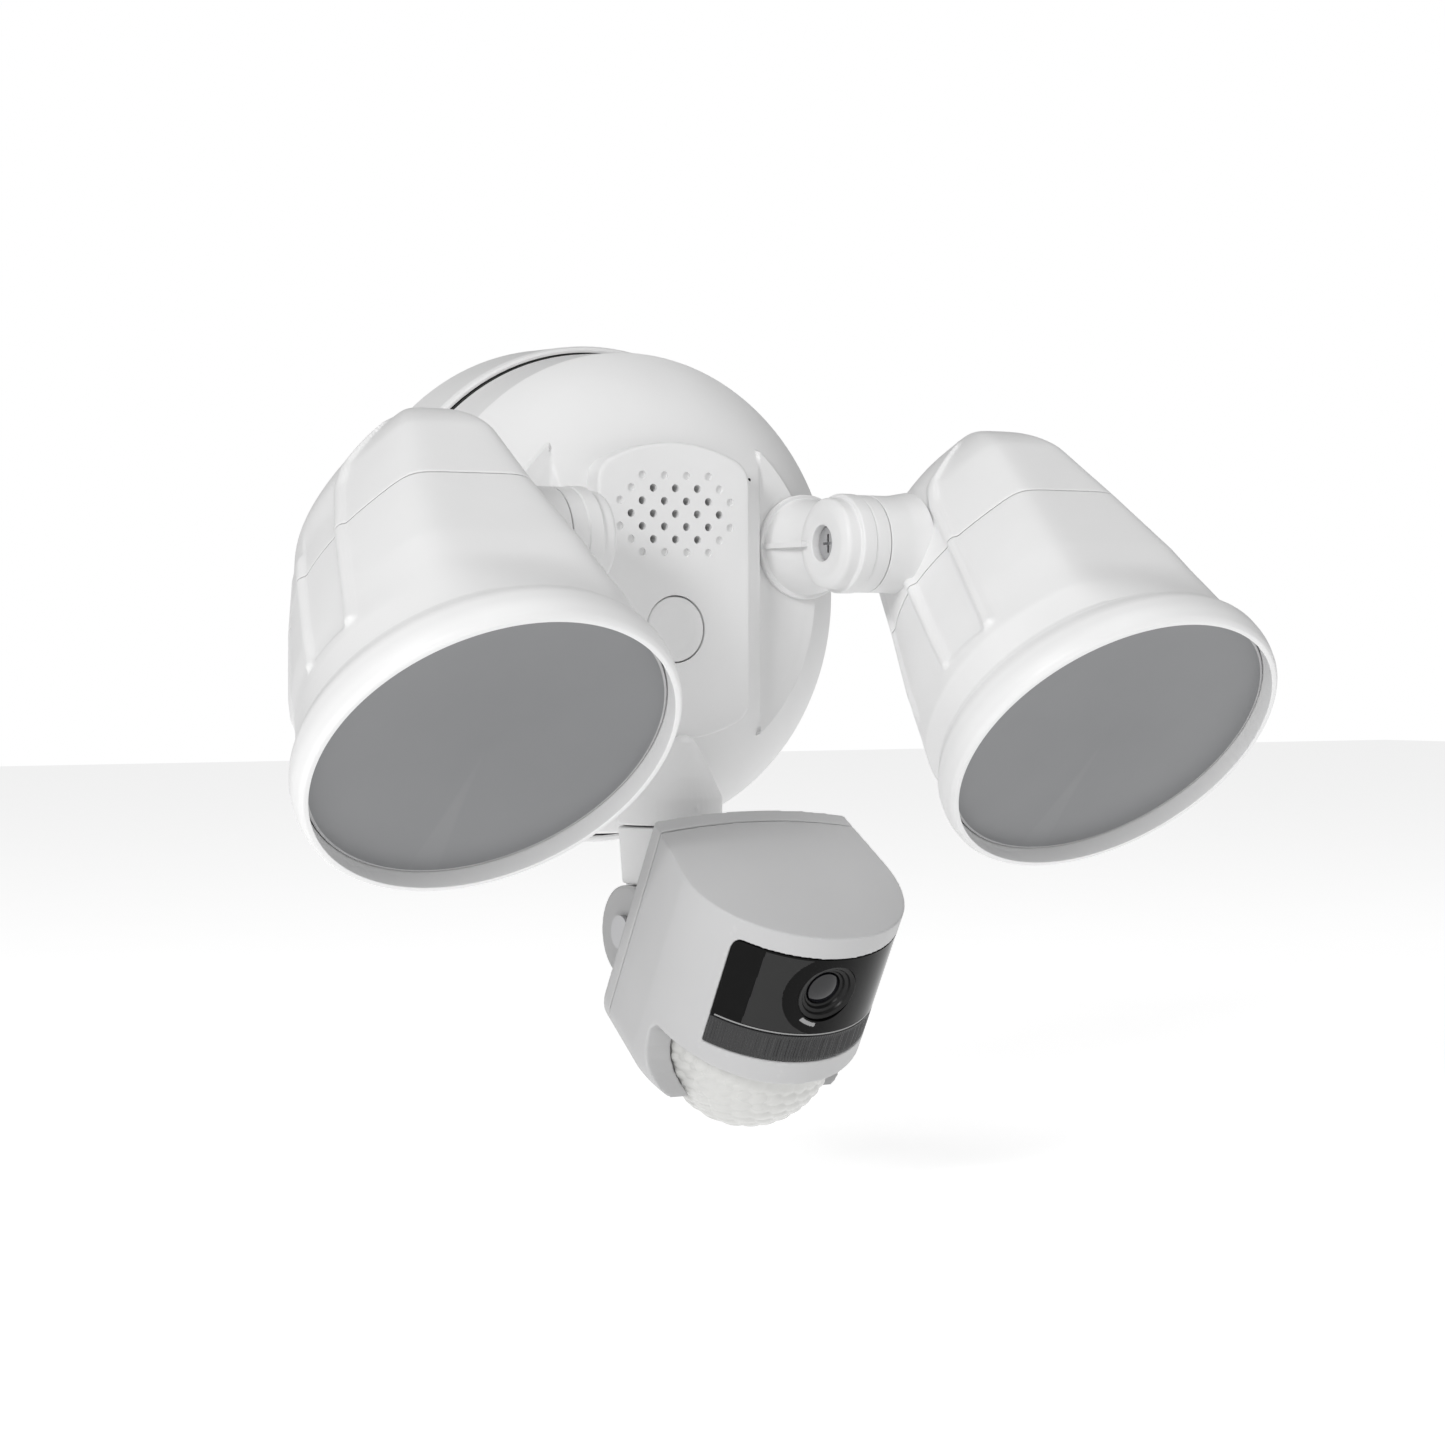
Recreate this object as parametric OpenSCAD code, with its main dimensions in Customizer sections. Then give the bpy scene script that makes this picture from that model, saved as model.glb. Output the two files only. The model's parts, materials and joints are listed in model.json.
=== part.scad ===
// Wall floodlight camera: round wall base, two swivelling lamp heads and a pan and tilt camera.
// Frame: X to the right, Z up, the wall is the plane Y = 0 and the lamp stands out towards -Y.
// The origin is the centre of the base where it meets the wall.

/* [Wall base] */
// radius of the wall plate
plate_r = 76.9; // [76:0.1:78]
// depth of the wall plate
plate_depth = 22; // [20:0.5:22]
// wall thickness of the moulded shells
wall_t = 2.6; // [2:0.1:3]
// distance from the wall to the flat front of the domed housing
dome_front = 65.6; // [65:0.1:67]
// distance from the wall to the front of the raised panel
panel_front = 70.9; // [69:0.1:73]
// radius of the call button
button_r = 9.7; // [8:0.1:10]
// travel of the call button
button_travel = 0.8; // [0.5:0.1:1]
// pitch of the speaker hole grid
grille_pitch = 3.768; // [3.5:0.01:4]
// radius of one speaker hole
grille_r = 1.2; // [0.8:0.1:1.3]

/* [Lamp heads] */
// sideways place of the swivel boss
boss_x = 51.3; // [50:0.1:52]
// height of the swivel boss and of the knuckle
boss_z = 14.1; // [12:0.1:16]
// distance from the wall to the knuckle axis
knuckle_out = 91.6; // [90:0.1:94]
// sideways place of the head's own axis
head_x = 101.4; // [100:0.1:104]
// how far the head points below the horizontal
head_droop = 45.37; // [30:0.01:55]
// distance from the knuckle axis to the lip of the head
head_reach = 84.7; // [82:0.1:88]
// outer radius of the head's lip
lip_r = 51.5; // [50:0.1:52]

/* [Camera] */
// how far the camera looks below the horizontal
camera_pitch = 30; // [10:1:50]
// radius of the camera's rounded front
camera_r = 34; // [33:0.1:35]
// height of the camera body above the tilt axis
camera_top = 55; // [54:0.1:57]
// radius of the motion sensor dome
pir_r = 25.1; // [24:0.1:25.5]

/* [Part] */
// which node to draw

/* [Hidden] */
$fn = 96;
clear = 0.06;
gap = 0.3;
swivel_r = 9;
pad_side = 3.4;
lap = 0.05;
pin_r = 3;
screw_r = 1.45;
screw_hole_r = 1.5;

// base
gasket_in = 70;
gasket_out = 74;
gasket_h = 1.5;
cable_r = 11;
wall_hole_r = 2.3;
wall_hole_x = 44.45;
shoulder_c = [28.4, 10.5];
shoulder_r = dome_front - shoulder_c[1];
crease_out = 43.5;
crease_r = shoulder_c[0] + sqrt(pow(shoulder_r, 2) - pow(crease_out - shoulder_c[1], 2));
rear_out = 23.1;
rear_r = crease_r + 1.15;
pad_out = 59.8;
pad_chord = 36;
pad_arc = 56;
panel_half_w = 26;
panel_half_h = 44;
button_z = -11.2;
grille_z = 22.82;
housing_screw_out = 13;
housing_screw_turn = 25;
power_z = 12;
power_hole = [36, -32];
main_z = 46;
main_hole = [21, -31];
board_t = 1.6;
switch_h = 3.6;

// camera neck
neck_out = 67.1;
neck_r = 15.5;
neck_split = -69;
neck_top = -61;
cup_bottom = -86.2;
spigot_r = 7.5;
nut_z = -64;
nut_h = 2.6;
nut_room = 3.6;
tenon_z = -55;
tenon_r = 4.5;
cable_way_r = 3;
tilt_at = [0, -67.4, -100.3];
ear_in = 9;
ear_out = 16;
ear_r = 13.7;

// lamp head, sizes along its axis are distances behind the lip
seam_s = 67;
lens_s = 5.45;
lens_t = 3;
tube_r = 14.5;
tube_x = 53.3;
screw_x = 19;
screw_y = -16;

// camera body, f is the distance in front of the tilt axis and u the height above it
rear_f = 21.9;
seam_f = 27;
rear_half_w = 31.6;
round_f = 46.5;
camera_bottom = -14.6;
pir_f = 51.7;
pir_u = -2.7;
eye_u = 32.4;
window_half = 52.6;

// ---------- shared helpers ----------

// turns a solid built upwards so that its +Z points out from the wall and its +Y points up
module out() {
    rotate([90, 0, 0]) children();
}

// a ring built by subtraction so that its bore is a true cylinder
module ring(r_out, r_in, h) {
    difference() {
        cylinder(r = r_out, h = h);
        translate([0, 0, -1]) cylinder(r = r_in, h = h + 2);
    }
}

module plate_of(w, d, h) {
    translate([-w / 2, -d / 2, 0]) cube([w, d, h]);
}

// pan head screw with a cross recess, its shaft points up from z = 0 and its head is below
module screw(shaft, head_r, head_h, shaft_r = screw_r) {
    translate([0, 0, -head_h * 0.4]) cylinder(r = shaft_r, h = shaft + head_h * 0.4);
    difference() {
        translate([0, 0, -head_h]) cylinder(r = head_r, h = head_h - 0.02);
        for (turn = [0, 90])
            rotate([0, 0, turn])
                translate([-head_r * 0.55, -0.4, -head_h - 1]) cube([head_r * 1.1, 0.8, head_h * 0.5 + 1]);
    }
}

// ---------- wall base ----------

function arc_points(c, r, a0, a1, n) = [
    for (i = [0:n]) let (a = a0 + (a1 - a0) * i / n) [c[0] + r * cos(a), c[1] + r * sin(a)]
];

// solid of the domed housing, grown outward by g
module dome_solid(g, z0) {
    r_sh = shoulder_r + g;
    low = asin((crease_out - shoulder_c[1]) / shoulder_r);
    rotate_extrude()
        polygon(concat(
            [[0, z0], [rear_r + g, z0], [rear_r + g, rear_out]],
            arc_points(shoulder_c, r_sh, low, 90, 14),
            [[0, shoulder_c[1] + r_sh]]));
}

// the flat step beside the panel on the +X side, everything in it is cut from the dome
module pad_cut() {
    slope = 3.3;
    rise = 5.5;
    translate([0, 60, 0])
        rotate([90, 0, 0])
            linear_extrude(height = 120)
                polygon([
                    [pad_chord, pad_out], [pad_chord - slope, pad_out + rise],
                    [pad_chord - slope, pad_out + 20], [90, pad_out + 20], [90, pad_out]]);
}

// raised crescent that carries the swivel boss
module pad_solid() {
    low = 40;
    intersection() {
        translate([0, 0, low]) cylinder(r = pad_arc, h = pad_out - low);
        translate([pad_chord - 1, -60, low]) cube([60, 120, pad_out - low + 1]);
    }
    translate([boss_x, boss_z, low]) cylinder(r = 15.3, h = pad_out - low);
}

// outline of the raised panel: two slightly bowed ends and rounded corners
module panel_solid(z0, h) {
    corner = 8;
    bow = 50;
    corner_y = 30.6;
    intersection() {
        translate([-panel_half_w, -panel_half_h, z0]) cube([2 * panel_half_w, 2 * panel_half_h, h]);
        translate([0, panel_half_h - bow, z0]) cylinder(r = bow, h = h);
        translate([0, bow - panel_half_h, z0]) cylinder(r = bow, h = h);
        union() {
            translate([-panel_half_w + corner, -panel_half_h, z0])
                cube([2 * (panel_half_w - corner), 2 * panel_half_h, h]);
            translate([-panel_half_w, -corner_y, z0]) cube([2 * panel_half_w, 2 * corner_y, h]);
            for (sx = [-1, 1], sy = [-1, 1])
                translate([sx * (panel_half_w - corner), sy * corner_y, z0]) cylinder(r = corner, h = h);
        }
    }
}

module grille_holes() {
    half = 2;
    for (row = [-half:half])
        for (k = [0:4 - abs(row)]) {
            x = (2 * k - (4 - abs(row))) * grille_pitch;
            translate([x, grille_z + row * grille_pitch, dome_front - 8])
                cylinder(r = grille_r, h = 20, $fn = 24);
        }
}

module wall_gasket() {
    color("dimgray") out() ring(gasket_out - 0.1, gasket_in + 0.1, gasket_h);
}

module back_plate() {
    floor_t = 3;
    rim_in = plate_r - wall_t;
    color("gainsboro") out() difference() {
        union() {
            rotate_extrude()
                polygon([
                    [0, 0], [plate_r, 0], [plate_r - 0.6, plate_depth - 1.5],
                    [plate_r - 1.1, plate_depth - 0.4], [plate_r - 1.9, plate_depth],
                    [rim_in, plate_depth], [rim_in, floor_t], [0, floor_t]]);
            for (s = [-1, 1])
                translate([s * power_hole[0], power_hole[1], 1]) cylinder(r = 3.4, h = power_z - 1);
        }
        for (s = [-1, 1])
            translate([s * power_hole[0], power_hole[1], 4]) cylinder(r = screw_hole_r, h = power_z);
        translate([0, 0, -1]) ring(gasket_out, gasket_in, gasket_h + 1);
        translate([0, 0, -1]) cylinder(r = cable_r, h = floor_t + 2);
        for (s = [-1, 1])
            translate([s * wall_hole_x, 0, -1]) cylinder(r = wall_hole_r, h = floor_t + 2);
        for (s = [-1, 1]) housing_screw_place(s) {
            translate([0, 0, -8]) cylinder(r = screw_hole_r, h = 16);
            translate([0, 0, -8]) cylinder(r = 2.9, h = 8.01);
        }
    }
}

// radial seat of a housing screw in the lower edge of the plate, +Z points to the centre
module housing_screw_place(s) {
    rotate([0, 0, -90 + s * housing_screw_turn])
        translate([plate_r - 1.5, 0, housing_screw_out])
            rotate([0, -90, 0]) children();
}

module housing_screws() {
    color("silver") out()
        for (s = [-1, 1]) housing_screw_place(s) screw(5.5, 2.7, 1);
}

module cable_gland() {
    color("dimgray") out() difference() {
        union() {
            translate([0, 0, 0.2]) cylinder(r = cable_r - 0.1, h = 4);
            translate([0, 0, 3.1]) cylinder(r = cable_r + 2.5, h = 2.4);
            translate([0, 0, 5]) cylinder(r = 6.5, h = 3.4);
        }
        translate([0, 0, -1]) cylinder(r = 4, h = 12);
    }
}

module terminal_block() {
    color("ivory") out() difference() {
        translate([0, 36, 3.1]) plate_of(34, 16, 12);
        for (i = [-1, 0, 1]) {
            translate([i * 10, 40, 8]) cylinder(r = 2.6, h = 10);
            translate([i * 10, 30, 9]) rotate([90, 0, 0]) translate([0, 0, -8]) cylinder(r = 2, h = 12);
        }
    }
}

module power_board() {
    face = power_z + board_t - lap;
    color("seagreen") out() {
        difference() {
            translate([0, power_hole[1], power_z]) plate_of(84, 40, board_t);
            for (s = [-1, 1])
                translate([s * power_hole[0], power_hole[1], power_z - 1]) cylinder(r = 1.7, h = 4);
        }
        // transformer, two capacitors and the relay
        translate([-22, -32, face]) plate_of(22, 20, 16);
        translate([4, -38, face]) cylinder(r = 6.3, h = 20);
        translate([20, -38, face]) cylinder(r = 5, h = 18);
        translate([10, -22, face]) plate_of(26, 8, 9);
    }
}

module housing_seal() {
    color("dimgray") out() translate([0, 0, 20.6]) ring(73.9, 71.6, 2.2);
}

module front_housing() {
    skirt_r = 73.9;
    skirt_in = 71.2;
    shelf = pad_out - wall_t;
    color("whitesmoke") out() difference() {
        union() {
            difference() {
                dome_solid(0, rear_out);
                pad_cut();
                mirror([1, 0, 0]) pad_cut();
            }
            pad_solid();
            mirror([1, 0, 0]) pad_solid();
            panel_solid(dome_front - 3, panel_front - dome_front + 3);
            translate([0, 0, 8]) ring(skirt_r, skirt_in, 12.4);
            translate([0, 0, 20]) ring(71.5, 69.9, 3.4);
        }
        // the hollow, held back below both pads and around two board posts
        difference() {
            dome_solid(-wall_t, 7);
            for (s = [-1, 1])
                translate([s * main_hole[0], main_hole[1], main_z + board_t]) cylinder(r = 3.2, h = 20);
            for (s = [-1, 1])
                translate([s > 0 ? pad_chord - pad_side : -90, -80, shelf])
                    cube([90 - pad_chord + pad_side, 160, 20]);
        }
        for (s = [-1, 1])
            translate([s * boss_x, boss_z, 0]) {
                translate([0, 0, 36]) cylinder(r = 13.4, h = shelf - 36);
                translate([0, 0, shelf - 1]) cylinder(r = swivel_r + clear, h = 10);
                translate([0, 0, pad_out + lap]) cylinder(r = 16.4, h = 12);
            }
        for (s = [-1, 1])
            translate([s * main_hole[0], main_hole[1], main_z]) cylinder(r = screw_hole_r, h = 12);
        grille_holes();
        translate([0, button_z, dome_front - 8]) cylinder(r = button_r + 0.15, h = 20);
        translate([30.5, 34, dome_front - 8]) cylinder(r = 0.5, h = 20, $fn = 24);
        // hole for the tenon of the neck arm
        translate([0, tenon_z, 40]) cylinder(r = tenon_r + lap, h = 30);
        for (s = [-1, 1]) housing_screw_place(s) translate([0, 0, -8]) cylinder(r = screw_hole_r, h = 22);
    }
}

module speaker() {
    color("dimgray") out() translate([0, grille_z, 0]) {
        translate([0, 0, 57.4]) ring(18, 13, 3.8);
        difference() {
            translate([0, 0, 50]) cylinder(r1 = 11, r2 = 16, h = 8.1);
            translate([0, 0, 52]) cylinder(r1 = 9, r2 = 14.8, h = 6.2);
        }
        translate([0, 0, 42]) cylinder(r = 12, h = 8.1);
        translate([0, 0, 51.9]) cylinder(r = 5, h = 4);
    }
}

module main_board() {
    face = main_z + board_t - lap;
    color("seagreen") out() {
        difference() {
            translate([0, -16, main_z]) plate_of(50, 40, board_t);
            for (s = [-1, 1])
                translate([s * main_hole[0], main_hole[1], main_z - 1]) cylinder(r = 1.6, h = 4);
        }
        // switch under the button, two chips and the connector
        translate([0, button_z, face]) plate_of(7, 7, switch_h);
        translate([-14, -22, face]) plate_of(12, 12, 2);
        translate([13, -20, face]) plate_of(9, 14, 3);
        translate([14, -4, face]) plate_of(12, 6, 5);
    }
}

module board_screws() {
    color("silver") out()
        for (s = [-1, 1]) {
            translate([s * power_hole[0], power_hole[1], power_z + board_t])
                mirror([0, 0, 1]) screw(7, 2.8, 1.6);
            translate([s * main_hole[0], main_hole[1], main_z]) screw(9, 2.8, 1.6);
        }
}

module call_button() {
    flange_top = dome_front - wall_t - 0.1;
    stem_end = main_z + board_t + switch_h + button_travel + gap;
    color("whitesmoke") out() translate([0, button_z, 0]) {
        translate([0, 0, flange_top - 1.4]) cylinder(r = button_r + 1.6, h = 1.4);
        translate([0, 0, flange_top - 0.1]) cylinder(r = button_r, h = panel_front - flange_top);
        translate([0, 0, stem_end]) cylinder(r = 2, h = flange_top - 1 - stem_end);
    }
}

// ---------- camera neck ----------

module neck_arm() {
    hood_tip = [0, -75.5, -46];
    hood_mid = [0, -neck_out - 3.9, -54.7];
    root_z = -57.5;
    root_r = 7;
    color("whitesmoke") difference() {
        union() {
            difference() {
                union() {
                    hull() {
                        neck_axis(neck_split + 0.2) cylinder(r = neck_r, h = neck_top - neck_split, $fn = 48);
                        translate(hood_mid) cylinder(r = 10.7, h = 0.5, $fn = 48);
                        translate(hood_tip) sphere(r = 4, $fn = 24);
                    }
                    // sharp ridge down the front of the hood
                    hull() {
                        translate([0, -77, -43.5]) sphere(r = 1.5, $fn = 16);
                        translate([0, -81.8, neck_split + 5]) sphere(r = 0.9, $fn = 16);
                        translate([0, -76, neck_split + 6]) sphere(r = 4, $fn = 16);
                    }
                    // root that bears on the dome
                    back_from_neck(root_z) cylinder(r = root_r, h = 22);
                }
                out() dome_solid(lap, 0);
            }
            back_from_neck(tenon_z) cylinder(r = tenon_r, h = 20);
        }
        neck_axis(neck_split - 1) cylinder(r = spigot_r + clear, h = nut_z - neck_split + 2);
        // room for the nut, with the slot that it slides in through before the arm meets the dome
        neck_axis(nut_z) cylinder(r = 10.3, h = nut_room);
        translate([-8.8, -neck_out, nut_z]) cube([17.6, 30, nut_room]);
        // cable way back into the housing
        neck_axis(nut_z) cylinder(r = cable_way_r, h = tenon_z - nut_z);
        back_from_neck(tenon_z) cylinder(r = cable_way_r, h = 30);
        out() panel_solid(dome_front - 3, panel_front - dome_front + 3.1);
    }
}

// places a solid on the pan axis at height z
module neck_axis(z) {
    translate([0, -neck_out, z]) children();
}

// +Z of the solid points back from the pan axis into the dome
module back_from_neck(z) {
    neck_axis(z) rotate([-90, 0, 0]) children();
}

module pan_cup() {
    tongue_w = 2 * (ear_in - gap);
    color("whitesmoke") difference() {
        union() {
            neck_axis(cup_bottom) cylinder(r1 = 14.5, r2 = neck_r, h = neck_split - gap - cup_bottom);
            neck_axis(cup_bottom) cylinder(r = spigot_r, h = nut_z + nut_h + 0.3 - cup_bottom);
            // tongue between the two ears of the camera
            difference() {
                hull() {
                    translate([-tongue_w / 2, tilt_at[1], tilt_at[2]])
                        rotate([0, 90, 0]) cylinder(r = ear_r, h = tongue_w, $fn = 64);
                    translate([-tongue_w / 2, -neck_out - 12, cup_bottom - 0.5]) cube([tongue_w, 24, 1]);
                }
                translate([-20, tilt_at[1], tilt_at[2]])
                    rotate([0, 90, 0]) cylinder(r = pin_r + clear, h = 40);
            }
        }
        // cable way down to the tongue
        neck_axis(cup_bottom + 2) cylinder(r = 4.5, h = 60);
        neck_axis(cup_bottom - 6) cylinder(r = cable_way_r, h = 20);
    }
}

module pan_nut() {
    nut_r = 10;
    color("silver") neck_axis(nut_z + 0.15) difference() {
        rotate([0, 0, 30]) cylinder(r = nut_r, h = nut_h, $fn = 6);
        translate([0, 0, -1]) cylinder(r = spigot_r + 0.05, h = 6);
    }
}

module tilt_pin() {
    color("silver") translate([-ear_out, tilt_at[1], tilt_at[2]]) rotate([0, 90, 0]) {
        translate([0, 0, -1]) cylinder(r = pin_r, h = 2 * ear_out + 0.5);
        translate([0, 0, -1.65]) cylinder(r = 5, h = 1.6);
    }
}

// ---------- camera body ----------

// body frame: +Z is u, -Y is f
module camera_frame() {
    translate(tilt_at) rotate([camera_pitch, 0, 0]) children();
}

// D shaped column drawn in by g, from f0 to the rounded front
module d_column(g, f0, u0, u1) {
    w_at = rear_half_w + (camera_r - rear_half_w) * (f0 - rear_f) / (round_f - rear_f);
    translate([0, 0, u0]) {
        linear_extrude(height = u1 - u0)
            polygon([
                [-w_at + g, -f0], [w_at - g, -f0], [camera_r - g, -round_f], [g - camera_r, -round_f]]);
        // rounded front, its rear half is left to the straight part
        intersection() {
            translate([0, -round_f, 0]) cylinder(r = camera_r - g, h = u1 - u0);
            translate([-camera_r, -round_f - camera_r, 0]) cube([2 * camera_r, camera_r + lap, u1 - u0]);
        }
    }
}

// everything above the sloping top face, lowered by g
module above_top(g) {
    top_slope = 4.6;
    crown_r = 180;
    translate([0, -rear_f, camera_top + 0.6 - g])
        rotate([top_slope, 0, 0])
            translate([0, 20, 0])
                rotate([90, 0, 0])
                    difference() {
                        translate([-60, -30, 0]) cube([120, 80, 110]);
                        translate([0, -crown_r, -1]) cylinder(r = crown_r, h = 112, $fn = 256);
                    }
}

// lower rear corners of the body are rounded, drawn in by g
module below_corner(g) {
    corner = 9;
    for (s = [-1, 1])
        translate([s * (rear_half_w - g - corner + 1), -rear_f + 30, camera_bottom + g + corner])
            rotate([90, 0, 0])
                difference() {
                    translate([s > 0 ? 0 : -corner - 6, -corner - 6, 0]) cube([corner + 6, corner + 6, 40]);
                    translate([0, 0, -1]) cylinder(r = corner, h = 42);
                }
}

// opening under the chin that shows the motion sensor
module chin_cut() {
    translate([-50, 0, 0])
        rotate([90, 0, 90])
            linear_extrude(height = 100)
                polygon([
                    [-51.1, 2.6], [-51.8, -3], [-53.3, -6.4], [-55.6, -9.5], [-58.1, -11.9],
                    [-61, -13.5], [-64.5, -14.9], [-66, -17], [-100, -17], [-100, 0.8],
                    [-80.5, 2], [-56, 5.2], [-53, 5.4]]);
}

module camera_rear_cover() {
    color("gainsboro") camera_frame() difference() {
        union() {
            difference() {
                d_column(0, rear_f, camera_bottom, camera_top + 10);
                above_top(0);
                below_corner(0);
                translate([-50, -150, -50]) cube([100, 150 - seam_f + 0.1, 150]);
            }
            for (s = [-1, 1])
                difference() {
                    hull() {
                        translate([s > 0 ? ear_in : -ear_out, 0, 0])
                            rotate([0, 90, 0]) cylinder(r = ear_r, h = ear_out - ear_in, $fn = 64);
                        translate([s > 0 ? ear_in : -ear_out, -rear_f - 0.5, camera_bottom + 2])
                            cube([ear_out - ear_in, 1, 26]);
                    }
                    translate([-30, 0, 0]) rotate([0, 90, 0]) cylinder(r = pin_r + 0.03, h = 60);
                }
        }
        // hollow of the cover
        difference() {
            translate([-rear_half_w + wall_t, -60, camera_bottom + 4])
                cube([2 * (rear_half_w - wall_t), 60 - rear_f - 2.4, 63]);
            above_top(4);
            camera_posts(4.2);
        }
        camera_posts(screw_hole_r);
        camera_posts_heads(3);
        // cable way between the ears
        translate([0, 0, 4]) rotate([90, 0, 0]) cylinder(r = 4, h = 40);
    }
}

module camera_posts(r) {
    for (s = [-1, 1], u = [1, 42])
        translate([s * 24, -rear_f + 1, u]) rotate([90, 0, 0]) cylinder(r = r, h = 20);
}

module camera_posts_heads(r) {
    for (s = [-1, 1], u = [1, 42])
        translate([s * 24, -rear_f + 1, u]) rotate([90, 0, 0]) cylinder(r = r, h = 3);
}

module camera_screws() {
    color("silver") camera_frame()
        for (s = [-1, 1], u = [1, 42])
            translate([s * 24, -rear_f - 2, u]) rotate([90, 0, 0]) screw(14, 2.8, 1.6);
}

module camera_front_body() {
    color("whitesmoke") camera_frame() difference() {
        d_column(0, seam_f, camera_bottom, camera_top + 10);
        above_top(0);
        below_corner(0);
        chin_cut();
        // hollow, kept behind the chin cut and above the floor
        difference() {
            translate([0, 0.1, 0]) d_column(wall_t, seam_f, camera_bottom + wall_t, camera_top + 10);
            above_top(wall_t);
            below_corner(wall_t);
            camera_front_posts();
            translate([-50, -100, -20]) cube([100, 51.4, 27.6]);
        }
        camera_posts(screw_hole_r);
        sensor_seat();
        window_place(0.1, 18.4, 44.1, 0.1);
        window_place(0.1, 9.6, 18.5, 0.1);
        translate([0, -round_f, 8]) cylinder(r = 24, h = 36);
    }
}

module camera_front_posts() {
    for (s = [-1, 1], u = [1, 42])
        translate([s * 24, -seam_f + 1, u]) rotate([90, 0, 0]) cylinder(r = 4, h = 16);
}

// room for the dome through the floor and the wall under the chin
module sensor_seat() {
    translate([0, -pir_f, pir_u]) {
        sphere(r = pir_r + 0.12);
        cylinder(r = pir_r + 0.12, h = 10.5);
    }
}

// curved panel on the rounded front between two heights, grown by g
module window_place(g, u0, u1, side) {
    turn = window_half + side / camera_r * 57.3;
    reach = 60;
    intersection() {
        translate([0, -round_f, u0]) ring(camera_r + g * 3, camera_r - 2.2 - g, u1 - u0);
        translate([0, -round_f, u0 - 1])
            linear_extrude(height = u1 - u0 + 2)
                polygon([[0, 0], [-reach * sin(turn), -reach * cos(turn)], [-reach * 0.5, -reach * 1.3],
                    [reach * 0.5, -reach * 1.3], [reach * sin(turn), -reach * cos(turn)]]);
    }
}

module camera_window() {
    color("black") camera_frame() window_place(0, 18.5, 44, 0);
}

module infrared_strip() {
    color("#404045") camera_frame() window_place(0, 9.7, 18.4, 0);
}

module camera_lens_barrel() {
    color("#202022") camera_frame() translate([0, -62, eye_u]) rotate([90, 0, 0]) difference() {
        union() {
            cylinder(r = 7.5, h = 14.4);
            translate([0, 0, 9]) cylinder(r = 8.8, h = 4);
        }
        translate([0, 0, 11.4]) cylinder(r = 5.05, h = 4);
        translate([0, 0, 3]) cylinder(r = 3.5, h = 12);
    }
}

module camera_lens_glass() {
    color("#303848") camera_frame() translate([0, -73.5, eye_u]) rotate([90, 0, 0]) intersection() {
        cylinder(r = 5, h = 3);
        translate([0, 0, -6.6]) sphere(r = 9);
    }
}

module camera_image_board() {
    color("seagreen") camera_frame() difference() {
        union() {
            translate([-20, -61.9, 11]) cube([40, 1.6, 33]);
            translate([-8, -60.4, 24]) cube([16, 6, 14]);
        }
        for (s = [-1, 1]) translate([s * 17, -50, 40]) rotate([90, 0, 0]) cylinder(r = 1.2, h = 20);
    }
}

module infrared_board() {
    color("seagreen") camera_frame() {
        translate([-17, -67.6, 9]) cube([34, 1.6, 9]);
        for (i = [-2:2])
            translate([i * 7, -67.5, 13.5]) rotate([90, 0, 0]) cylinder(r = 2.2, h = 3);
    }
}

module motion_dome() {
    shell = 1;
    neck_h = 9.5;
    color("white") camera_frame() translate([0, -pir_f, pir_u]) difference() {
        union() {
            sphere(r = pir_r);
            cylinder(r = pir_r, h = neck_h);
        }
        sphere(r = pir_r - shell);
        cylinder(r = pir_r - shell, h = neck_h + 1);
        // open upper half of the sphere above the neck
        translate([0, 0, neck_h]) cylinder(r = pir_r + 5, h = pir_r);
    }
}

module motion_sensor() {
    color("silver") camera_frame() translate([0, -pir_f, 0]) {
        translate([0, 0, -9]) cylinder(r = 4.2, h = 5.1);
        translate([0, 0, -4.5]) cylinder(r = 4.8, h = 0.6);
        translate([0, 0, -4]) cylinder(r = 15, h = 1.6);
        translate([7, 0, -2.5]) cylinder(r = 2, h = 4);
    }
}

// ---------- lamp heads, written for the +X side and mirrored for the other ----------

module swivel_boss() {
    color("whitesmoke") difference() {
        union() {
            out() translate([boss_x, boss_z, 0]) {
                translate([0, 0, 46]) cylinder(r = swivel_r, h = 15);
                translate([0, 0, pad_out + gap]) cylinder(r = 16, h = 1.9);
                rotate_extrude()
                    polygon([
                        [0, 61.9], [14.6, 61.9], [14.3, 66], [13.6, 70],
                        [12.8, 75], [12.4, 82], [12.4, 90], [0, 90]]);
            }
            knuckle() {
                translate([0, 0, 37.9]) cylinder(r1 = 11, r2 = 13.5, h = 1.2);
                translate([0, 0, 39.1]) cylinder(r = 13.5, h = 5);
                translate([0, 0, 43.5]) cylinder(r = 14.8, h = 4.5);
                translate([0, 0, 47.9]) cylinder(r = 14.5, h = 5.1);
            }
            // web between the flange and the barrel
            translate([36.3, -82, boss_z - 0.9]) cube([6, 20, 1.8]);
        }
        // room for the tube of the head
        knuckle() translate([0, 0, 53]) cylinder(r = 15, h = 40);
        translate([53, -95 - 20, boss_z - 30]) cube([40, 30, 60]);
        // screw recess and bore
        knuckle() {
            translate([0, 0, 30]) cylinder(r = 5.4, h = 12.9);
            translate([0, 0, 30]) cylinder(r = pin_r + clear, h = 40);
            translate([0, 0, 51.8]) ring(11.6, 9.9, 5);
        }
        // cable way from the housing into the barrel
        out() translate([boss_x - 2, boss_z, 44]) cylinder(r = 4.5, h = 36);
    }
}

// frame of the knuckle axis, +Z points along +X
module knuckle() {
    translate([0, -knuckle_out, boss_z]) rotate([0, 90, 0]) children();
}

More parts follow.
